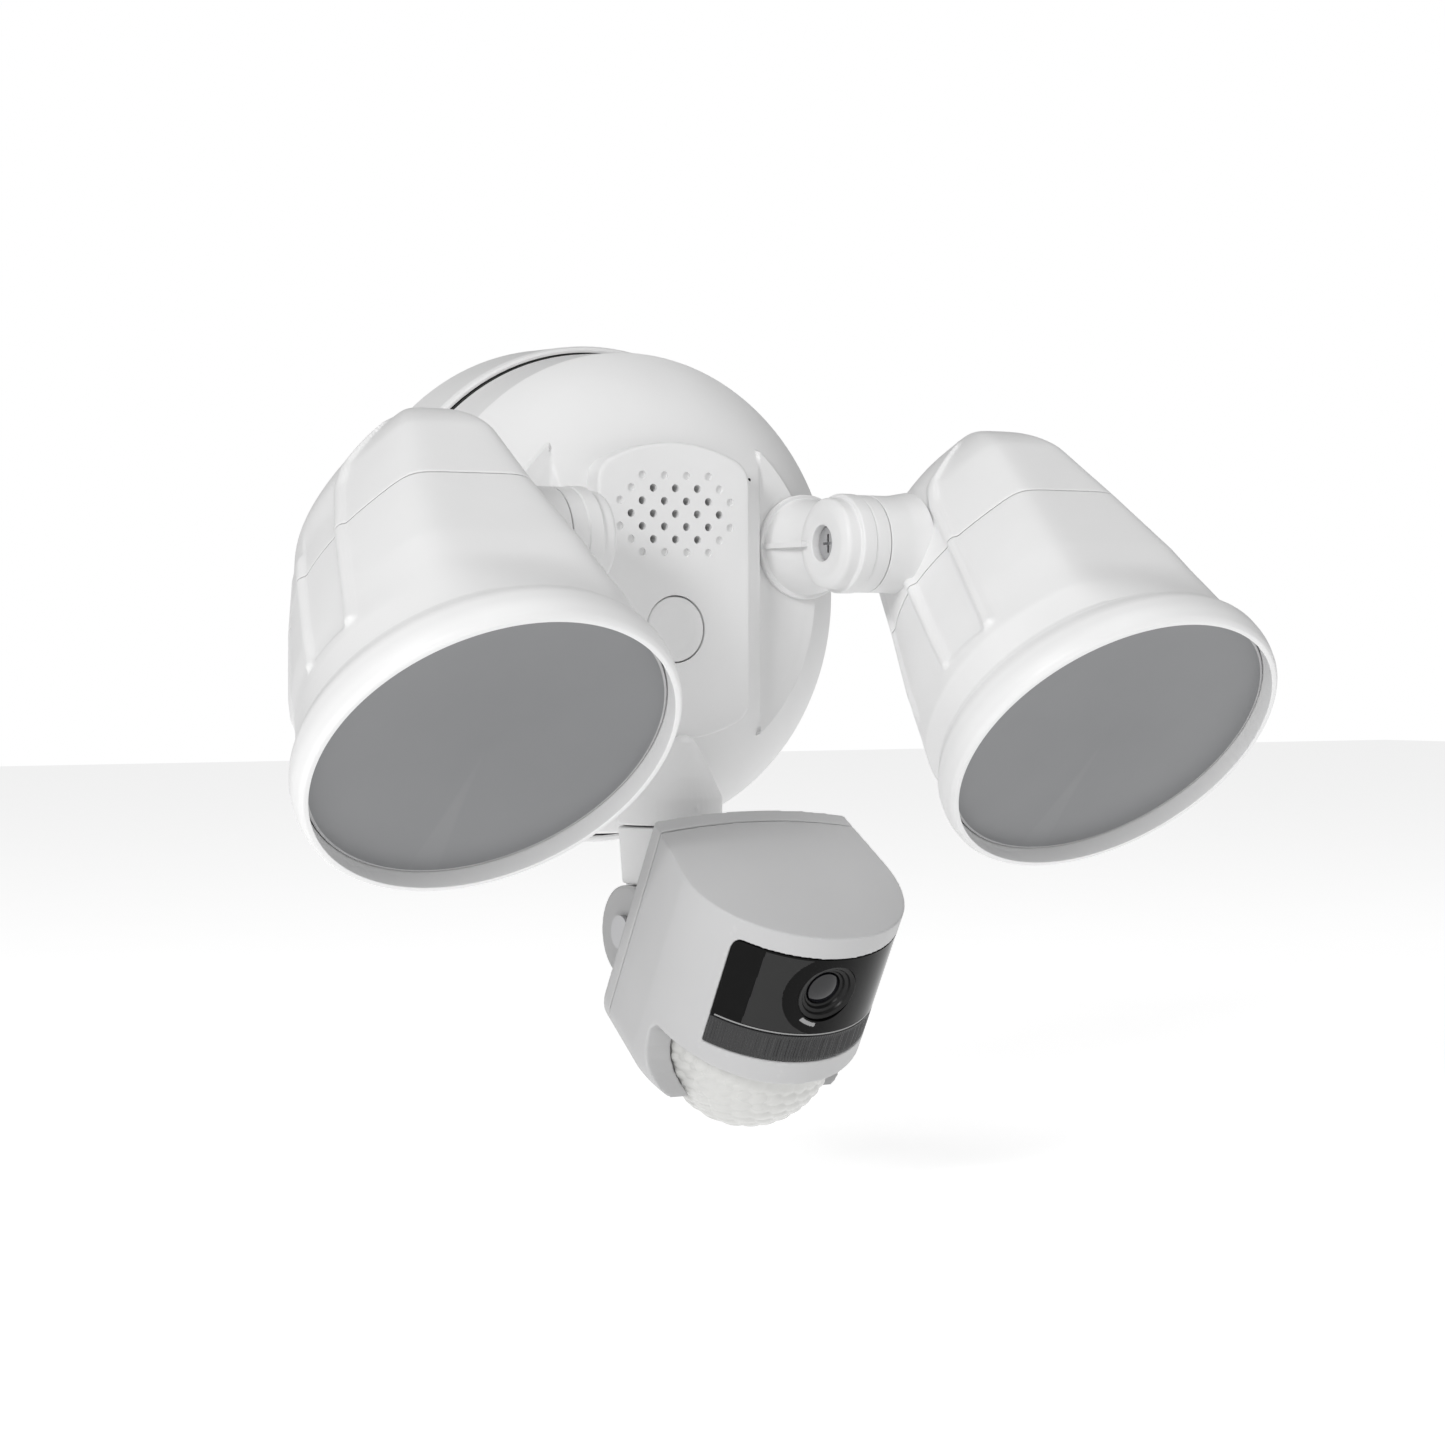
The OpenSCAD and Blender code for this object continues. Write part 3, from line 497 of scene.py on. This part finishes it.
def build_boss(side):
    place = boss_frame(side)
    axis = knuckle_frame(side) @ Matrix.Translation((0, 0, -BOSS_X * MM))
    bell = lathe(side + "_boss_body", [
        (0, 55), (9, 55), (9, 60.1), (16, 60.1, 0.4), (16, 62, 0.5), (14.6, 62, 0.5), (14.3, 66),
        (13.6, 70, 4), (12.8, 75, 4), (12.4, 82, 4), (12.4, 92), (0, 92)], place)
    barrel = lathe("barrel", [
        (0, 41.5), (5.4, 41.5), (5.4, 37.9, 0.4), (10.6, 37.9, 1), (13.5, 39.2, 1.2), (13.5, 43.2, 0.5),
        (14.8, 43.5, 0.6), (14.8, 47.9, 0.5), (14.35, 48.2, 0.3), (14.5, 48.8, 0.3), (14.5, 53.1, 0.3),
        (0, 53.1)], axis)
    combine(bell, barrel, "UNION")
    well = lathe("well", [(0, 30), (5.4, 30), (5.4, 42.8), (0, 42.8)], axis, 64)
    combine(bell, well)
    web = prism("web", [(-15.6, -0.8), (-9, -0.8), (-9, 0.8), (-15.6, 0.8)], 61, 84,
                place if side == "right" else place @ Matrix.Scale(-1, 4, (1, 0, 0)))
    combine(bell, web, "UNION")
    piece(bell, side + "_boss", "head_plastic", side + "_swivel_boss", degrees=40)


# ---------- lamp heads ----------

SEAM = 67
# outline corners of the right half at a few distances behind the lip, from the ridge down
STATIONS = (24, 42, 67, 90, 108)
CORNERS = (
    ((25.0, 43.2), (43.5, 24.0), (48.6, 3.0), (44.5, -22), (30, -41)),
    ((23.0, 42.2), (39.0, 21.5), (44.5, 1.5), (41.0, -22), (28, -37.5)),
    ((18.0, 39.6), (32.5, 18.5), (37.6, -1.0), (34.5, -20), (24, -31.5)),
    ((13.2, 37.6), (27.5, 14.5), (31.5, -4.0), (28.5, -18), (19, -26)),
    ((8.5, 35.0), (22.0, 12.0), (25.5, -4.0), (23.0, -15), (14, -22)),
)
DRIFT = (1.8, 2.4, 3.2, 5.4, 7.0)
CAP_START, CAP_END, CAP_Y = 88, 111.5, 13.0
LENS_CLEAR_R = 46.6


def corners_at(s):
    table = np.array(CORNERS)
    return np.array([[np.interp(s, STATIONS, table[:, i, j]) for j in range(2)] for i in range(5)])


def outline_radius(s, angle):
    """Distance of the head's skin from its middle at an angle measured from the up side."""
    half = corners_at(s)
    loop = [tuple(p) for p in half] + [(-x, y) for x, y in half[::-1]]
    direction = np.stack([np.sin(angle), np.cos(angle)], 1)
    inverse = np.zeros(len(angle))
    power = 20.0
    for i, p in enumerate(loop):
        q = loop[(i + 1) % len(loop)]
        normal = np.array([-(q[1] - p[1]), q[0] - p[0]])
        normal = normal / np.hypot(*normal)
        offset = normal @ np.array(p)
        if offset < 0:
            normal, offset = -normal, -offset
        inverse += np.maximum(direction @ normal / offset, 0) ** power
    return inverse ** (-1 / power)


def rib_heights(s):
    """Height of the upper, lower and corner ribs on the side of the head."""
    upper = np.interp(s, (26, 67, 84, 92, 99, 104), (23.0, 18.3, 17.0, 18.5, 24.0, 30.0))
    lower = np.interp(s, (26, 67, 80), (4.8, -1.0, -2.5))
    corner = np.interp(s, (20, 67, 90), (-21.0, -20.0, -18.0))
    return upper, lower, corner


def head_ring(s, angle, inset=0.0):
    radius = outline_radius(s, angle)
    blend = smooth_step(s, 9, 34)
    radius = (1 - blend) * (50.4 - 0.05 * s) + blend * radius
    side = np.abs(np.sin(angle))
    height = radius * np.cos(angle)
    upper, lower, corner = rib_heights(s)
    on_side = smooth_step(side, 0.35, 0.5)
    lift = 1.5 * plateau(abs(height - upper), 1.5, 0.28) * smooth_step(s, 26.5, 28.5) * (height > -5)
    reach = smooth_step(s, 28.5, 30.5) * smooth_step(-s, -79, -75)
    lift += 1.3 * plateau(abs(height - lower), 1.4, 0.28) * reach
    reach = smooth_step(s, 30, 36) * smooth_step(-s, -92, -84)
    lift += 1.1 * plateau(abs(height - corner), 1.3, 0.3) * reach
    between = plateau(abs(height - (upper + lower) / 2), (upper - lower) / 2 - 1.6, 0.3)
    front = 27 + (upper - height) * 0.16
    lift -= 0.7 * between * smooth_step(s - front, 0, 1.2) * smooth_step(-s, -88, -78)
    if inset == 0:
        radius = radius + lift * on_side
    radius = radius - inset
    shift = np.interp(s, (12, 24) + STATIONS[1:], (0,) + DRIFT)
    x = radius * np.sin(angle) - shift
    y = radius * np.cos(angle)
    if s > CAP_START:
        k = math.sqrt(max(1 - ((s - CAP_START) / (CAP_END - CAP_START)) ** 2, 1e-6))
        x = -shift + (x + shift) * k
        y = CAP_Y + (y - CAP_Y) * k
    return np.stack([x, y, np.full(len(angle), -float(s))], 1)


def build_head(side):
    place = head_frame(side)
    body = side + "_head"
    steps = 420
    angle = np.arange(steps) * 2 * math.pi / steps
    circle = np.stack([np.sin(angle), np.cos(angle)], 1)

    def turned(r, s):
        return np.column_stack([circle * r, np.full(steps, -float(s))])

    rim = fillet([(50.1, 0.6), (50.1, 0, 0.3), (51.5, 0, 0.4), (52.5, 1.2, 1), (53.2, 5, 4), (52.6, 10, 4),
                  (50.5, 13, 0.8), (50.0, 14.5)], 6)
    loops = [turned(r, s) for r, s in rim[:-1]]
    loops += [head_ring(s, angle) for s in np.arange(14.5, SEAM - 0.4, 0.75)]
    loops += [head_ring(SEAM - 0.35, angle), head_ring(SEAM - 0.14, angle) * (0.997, 0.997, 1)]
    loops += [head_ring(s, angle, WALL) for s in np.linspace(SEAM - 0.14, 15, 14)]
    loops += [turned(46.9, 13), turned(46.9, 9.6), turned(50.1, 9.6)]
    piece(rings(side + "_front_form", loops, place, closed=True), body, "head_plastic", side + "_front_shell")

    stretch = np.concatenate([np.arange(SEAM + 0.35, CAP_START, 0.75),
                              CAP_START + (CAP_END - CAP_START) * np.sin(np.linspace(0, 0.5, 46) * math.pi)])
    loops = [head_ring(SEAM + 0.14, angle) * (0.997, 0.997, 1)]
    loops += [head_ring(s, angle) for s in stretch]
    inner = [head_ring(s, angle, WALL) for s in np.linspace(SEAM + 0.14, 103, 14)]
    rear = rings(side + "_rear_form", inner[::-1] + loops, place)
    piece(rear, body, "head_plastic", side + "_rear_housing")

    axis = knuckle_frame(side) @ Matrix.Translation((0, 0, -BOSS_X * MM))
    profile = [(0, 53.5), (14.5, 53.5, 0.3), (14.5, 60), (14.6, 62, 2), (15.6, 68), (0, 68)]
    tube = lathe(side + "_knuckle_tube", profile, axis)
    piece(tube, body, "head_plastic")

    lens = lathe(side + "_lens_face", [
        (0, -8.4), (49.8, -8.4), (49.8, -5.6, 0.4), (49.2, -5.42, 0.2), (0, -5.4)], place)
    lens.data.materials.append(materials["lamp_lens"])
    lens.data.materials.append(border_white)
    for polygon in lens.data.polygons:
        away = (Vector(polygon.center) - place.translation)
        radial = (away - place.col[2].xyz * away.dot(place.col[2].xyz)).length / MM
        polygon.material_index = 1 if radial > LENS_CLEAR_R else 0
    piece(lens, body, "lamp_lens", side + "_lens")


# ---------- camera neck ----------

def build_neck():
    place = Matrix.Translation(Vector((0, joint_place("camera_pan").y, 0)))
    cone = disc_points((0, 0, -68.8), 15.3) + disc_points((0, 0, -68.4), 15.5)
    cone += disc_points((0, 0, -61), 15.5)
    cone += disc_points((0, -3.9, -54.7), 10.7) + ball_points((0, -8.2, -46.2), 4)
    hood = hull("neck_hood", cone, place)
    fin = ball_points((0, -9.6, -43.6), 1.5) + ball_points((0, -14.9, -63.8), 0.9)
    fin += ball_points((0, -8.8, -63), 4)
    combine(hood, hull("fin", fin, place), "UNION")
    inward = Matrix.Translation((0, 0, -57.5 * MM)) @ Matrix.Rotation(math.radians(90), 4, "X")
    root = lathe("root", [(0, -20), (7, -20), (7, 2), (0, 2)], place @ inward, 48)
    combine(hood, root, "UNION")
    piece(blend_edges(hood, 0.4), "base", "housing_plastic", "neck_arm", degrees=60)

    profile = [(0, -86.2), (14.2, -86.2, 0.6), (15.4, -69.6, 0.5), (13.8, -69.25, 0.2), (0, -69.2)]
    cup = lathe("pan_cup_shell", profile, place)
    tilt = joint_place("camera_tilt") / MM
    half = 8.7
    tongue = disc_points((-half, tilt.y, tilt.z), 13.7, "x") + disc_points((half, tilt.y, tilt.z), 13.7, "x")
    y0 = joint_place("camera_pan").y / MM
    tongue += [(x, y0 + y, -86.0) for x in (-half, half) for y in (-11, 11)]
    combine(cup, hull("tongue", tongue), "UNION")
    piece(cup, "pan_cup", "housing_plastic", "pan_cup", degrees=32)


# ---------- camera body, x across, y forward from the tilt axis, z up ----------

REAR_F, SEAM_F, ROUND_F, CAM_R = 21.9, 27.0, 46.5, 34.0
REAR_W, CAM_BOTTOM = 31.6, -14.6
WINDOW_HALF = 52.6
EYE_U = 32.4


def camera_column(name, y0, y1, place):
    """The body between two distances from the tilt axis, with its crowned top and drawn-in bottom edge."""
    corner = 9.0
    loops = []
    heights = [CAM_BOTTOM + corner * (1 - math.cos(t)) for t in np.linspace(0, math.pi / 2, 14)]
    for u in heights + [60.0]:
        draw = 1 - math.sqrt(max(1 - (max(CAM_BOTTOM + corner - u, 0) / corner) ** 2, 0))
        r = CAM_R - 6.2 * draw
        front = arc(0, ROUND_F + 5.2 * draw, r, 0, 180, 97)
        w0 = REAR_W - 6.5 * draw
        loops.append([(x, y, u) for x, y in [(w0, REAR_F)] + front + [(-w0, REAR_F)]])
    body = rings(name, loops, place)
    crown, slope = 180.0, math.tan(math.radians(4.6))
    outline = [(x, 55.6 + math.sqrt(crown ** 2 - x ** 2) - crown) for x in np.linspace(-40, 40, 61)]
    side = outline + [(40, -20), (-40, -20)]
    verts, n = [], len(side)
    for y in (REAR_F - 5, 90):
        for x, z in side:
            verts.append((x, y, z - ((y - REAR_F) * slope if z > 40 else 0)))
    faces = [tuple(range(n)), tuple(range(n, 2 * n))]
    faces += [(k, (k + 1) % n, n + (k + 1) % n, n + k) for k in range(n)]
    combine(body, solid("section", verts, faces, place), "INTERSECT")
    combine(body, prism("half", [(-50, y0), (50, y0), (50, y1), (-50, y1)], -40, 80, place), "INTERSECT")
    return body


def curved_panel(name, half, u0, u1, r, depth, place, columns, rows, relief=None, corner=0.0):
    """Thin panel on the rounded front. relief(angle, u) stands proud, corner rounds its upper ends."""
    angles = np.radians(np.linspace(-half, half, columns))
    loops = []
    for level, (du, dr) in enumerate([(0.0, -depth), (0.0, -0.25), (0.25, 0.0)] + [(None, 0.0)] * rows
                                     + [(-0.25, 0.0), (0.0, -0.25), (0.0, -depth)]):
        if du is None:
            share = (level - 2) / (rows + 1)
        else:
            share = 0 if level < 3 else 1
        row = []
        for a in angles:
            end = (math.radians(half) - abs(a)) * r
            cut = corner - math.sqrt(max(corner ** 2 - max(corner - end, 0) ** 2, 0)) if corner else 0
            low, high = u0, u1 - cut
            u = low + (high - low) * share + (du or 0)
            rr = r + dr + (relief(a, u) if relief and du is None else 0)
            row.append((rr * math.sin(a), ROUND_F + rr * math.cos(a), u))
        loops.append(row)
    loops = np.array(loops)
    count, width = loops.shape[:2]
    faces = []
    for i in range(count):
        j = (i + 1) % count
        for k in range(width - 1):
            faces.append((i * width + k, i * width + k + 1, j * width + k + 1, j * width + k))
    faces.append(tuple(i * width for i in range(count)))
    faces.append(tuple(i * width + width - 1 for i in range(count)))
    return solid(name, loops.reshape(-1, 3), faces, place)


def build_camera():
    place = camera_frame()
    rear = camera_column("camera_back", REAR_F, SEAM_F - 0.15, place)
    for s in (-1, 1):
        ear = []
        for x in (9.1, 15.9):
            ear += disc_points((s * x, 0, 0), 13.8, "x")
            ear += [(s * x, REAR_F + 1, CAM_BOTTOM + 1), (s * x, REAR_F + 1, CAM_BOTTOM + 27)]
        combine(rear, hull("ear", ear, place), "UNION")
    piece(blend_edges(rear, 0.42), "camera", "camera_plastic", "camera_rear_cover", degrees=60)

    front = camera_column("camera_shell", SEAM_F + 0.15, 90, place)
    chin = [(51.1, 2.6), (51.8, -3), (53.3, -6.4), (55.6, -9.5), (58.1, -11.9), (60, -13.5), (61.6, -14.9),
            (62, -17), (100, -17), (100, 0.8), (80.5, 2), (56, 5.2), (53, 5.4)]
    along_x = place @ axes((0, 0, 0), (0, 1, 0), (0, 0, 1), (1, 0, 0))
    combine(front, prism("chin", chin, -50, 50, along_x))
    opening = curved_panel("window_cut", WINDOW_HALF + 0.15, 9.6, 44.1, CAM_R + 4, 6.2, place, 121, 6,
                           corner=3.4)
    combine(front, opening)
    combine(front, lathe("eye_room", [(0, 70), (9.4, 70), (9.4, 82), (0, 82)], eye_frame(place), 64))
    room = 25.4
    profile = [(room * math.cos(t), room * math.sin(t)) for t in np.linspace(-1.5, 0, 24)]
    profile = [(0, -room)] + profile + [(room, 10), (0, 10)]
    combine(front, lathe("dome_cut", profile, motion_frame(place)))
    piece(blend_edges(front, 0.42), "camera", "camera_plastic", "camera_front_body", degrees=60)

    window = curved_panel("window_face", WINDOW_HALF, 18.6, 44, CAM_R - 0.05, 2, place, 321, 110, corner=3.0)
    hole = lathe("eye_hole", [(0, 70), (9.0, 70), (9.0, 90), (0, 90)], eye_frame(place), 64)
    combine(window, hole)
    window.data.materials.append(materials["window_plastic"])
    window.data.materials.append(inner_grey)
    window.data.materials.append(mark_grey)
    inverse = place.inverted()
    for polygon in window.data.polygons:
        p = inverse @ polygon.center / MM
        a = math.degrees(math.atan2(p.x, p.y - ROUND_F))
        away = math.hypot(p.x, p.z - EYE_U)
        left = -37.5 + (p.z - 18) * 0.05
        turn = math.degrees(math.atan2(-p.x, EYE_U - p.z))
        if 9.5 < away < 10.7 and 8 < turn < 38 or 18.9 < p.z < 19.25 and abs(a) < WINDOW_HALF - 2:
            polygon.material_index = 2
        else:
            polygon.material_index = 1 if left < a < 2 and 19.6 < p.z < 43.2 and away > 13.2 else 0
    piece(window, "camera", "window_plastic", "camera_window", degrees=30)

    def ribs(a, _):
        return 0.11 * math.cos(a * CAM_R * 2 * math.pi / 0.85)

    strip = curved_panel("infrared_ribs", WINDOW_HALF, 9.75, 18.45, CAM_R - 0.15, 2, place, 421, 10, ribs)
    piece(strip, "camera", "strip_plastic", "infrared_strip", degrees=30)

    eye = lathe("camera_eye", [
        (0, 74), (8.9, 74), (8.9, 79.6, 0.3), (7.6, 79.2, 0.3), (7.2, 78.4, 0.2), (6.3, 78.2, 0.2),
        (5.9, 77.4, 0.2), (5.2, 77.2, 0.2), (5.0, 76.4), (0, 76.4)], eye_frame(place))
    piece(eye, "camera", "dark_plastic", "camera_lens_barrel")
    glass = [(0, 76.2), (5.0, 76.2), (5.0, 76.8)] + [(9.5 * math.sin(t), 69.2 + 9.5 * math.cos(t))
                                                  for t in np.linspace(0.52, 0.02, 12)] + [(0, 78.7)]
    piece(lathe("camera_eye_glass", glass, eye_frame(place)), "camera", "camera_glass", "camera_lens_glass")
    build_motion_lens(place)


def eye_frame(place):
    """+Z points forward on the lens axis."""
    return place @ axes((0, 0, EYE_U * MM), (1, 0, 0), (0, 0, -1), (0, 1, 0))


def motion_frame(place):
    """Middle of the motion lens."""
    return place @ Matrix.Translation((0, 51.7 * MM, -2.7 * MM))


def build_motion_lens(place):
    """Milky dome of small hexagonal lenses."""
    radius, cell = 25.0, 4.6
    steps = 300
    angle = np.arange(steps) * 2 * math.pi / steps
    loops = []
    for t in np.linspace(-0.495, 0, 150) * math.pi:
        x, y, z = np.cos(angle) * math.cos(t), np.sin(angle) * math.cos(t), np.full(steps, math.sin(t))
        across = np.arctan2(x, np.maximum(-z, 0) + np.abs(y) + 1e-4) * radius
        along = np.arcsin(np.clip(z, -1, 1)) * radius
        best = np.full(steps, 99.0)
        for shift in (0, 1):
            row = np.round((along / (cell * 0.866) - shift) / 2) * 2 + shift
            col = np.round(across / cell - 0.5 * shift) + 0.5 * shift
            best = np.minimum(best, np.hypot(across - col * cell, along - row * cell * 0.866))
        r = radius + 0.15 - 0.09 * best ** 2
        loops.append(np.stack([x * r, y * r, z * r], 1))
    loops.append(np.stack([np.cos(angle) * radius, np.sin(angle) * radius, np.full(steps, 7.0)], 1))
    lens = rings("motion_lens", loops, motion_frame(place))
    piece(lens, "camera", "motion_lens", "motion_dome")


# ---------- studio ----------

def build_world():
    """White surroundings as the camera sees them, a softer white as the object is lit by them."""
    world = bpy.data.worlds.new("studio")
    world.use_nodes = True
    tree = world.node_tree
    seen = tree.nodes["Background"]
    seen.inputs["Color"].default_value = (1, 1, 1, 1)
    seen.inputs["Strength"].default_value = 1.0
    light = tree.nodes.new("ShaderNodeBackground")
    light.inputs["Color"].default_value = (1, 1, 1, 1)
    light.inputs["Strength"].default_value = 0.20
    mix = tree.nodes.new("ShaderNodeMixShader")
    path = tree.nodes.new("ShaderNodeLightPath")
    node_link(tree, path.outputs["Is Camera Ray"], mix.inputs["Fac"])
    node_link(tree, light.outputs["Background"], mix.inputs[1])
    node_link(tree, seen.outputs["Background"], mix.inputs[2])
    node_link(tree, mix.outputs["Shader"], tree.nodes["World Output"].inputs["Surface"])
    bpy.context.scene.world = world


def build_studio():
    size, level = 4000, -175
    corners = ((-size, -size), (size, -size), (size, size), (-size, size))
    floor = solid("floor", [(x, y, level) for x, y in corners], [(0, 1, 2, 3)])
    pale = make_material("floor", (0.60, 0.60, 0.60), 0.8, 40, 0.05, 0.01, edge=0.0)
    shader = pale.node_tree.nodes["Principled BSDF"]
    shader.inputs["Emission Color"].default_value = (1, 1, 1, 1)
    shader.inputs["Emission Strength"].default_value = 0.74
    floor.data.materials.append(pale)
    build_world()
    for name, at, size, power in (("key", (-1.6, -1.0, 0.75), 0.5, 19), ("top", (0.1, -0.9, 1.7), 1.2, 12),
                                  ("fill", (1.6, -1.4, 0.2), 1.4, 3.5)):
        light = bpy.data.lights.new(name, "AREA")
        light.size = size
        light.energy = power
        lamp = bpy.data.objects.new(name, light)
        lamp.location = at
        lamp.rotation_euler = (Vector((0, -0.08, -0.02)) - Vector(at)).to_track_quat("-Z", "Y").to_euler()
        bpy.context.scene.collection.objects.link(lamp)
    data = bpy.data.cameras.new("photo_camera")
    data.lens = 82.69
    data.sensor_width = 36
    data.clip_start = 0.01
    camera = bpy.data.objects.new("photo_camera", data)
    forward = Vector((0.5171923, 0.85568653, -0.0176832))
    right = Vector((0.85578839, -0.51731702, -0.00305599))
    up = right.cross(forward)
    camera.matrix_world = axes((-0.4956, -0.91727, -0.02146), right, up, -forward)
    bpy.context.scene.collection.objects.link(camera)
    bpy.context.scene.camera = camera
    bpy.context.scene.view_settings.view_transform = "Standard"


build_base()
for side in SIDES:
    build_boss(side)
    build_head(side)
build_neck()
build_camera()
build_studio()

bpy.context.view_layer.update()
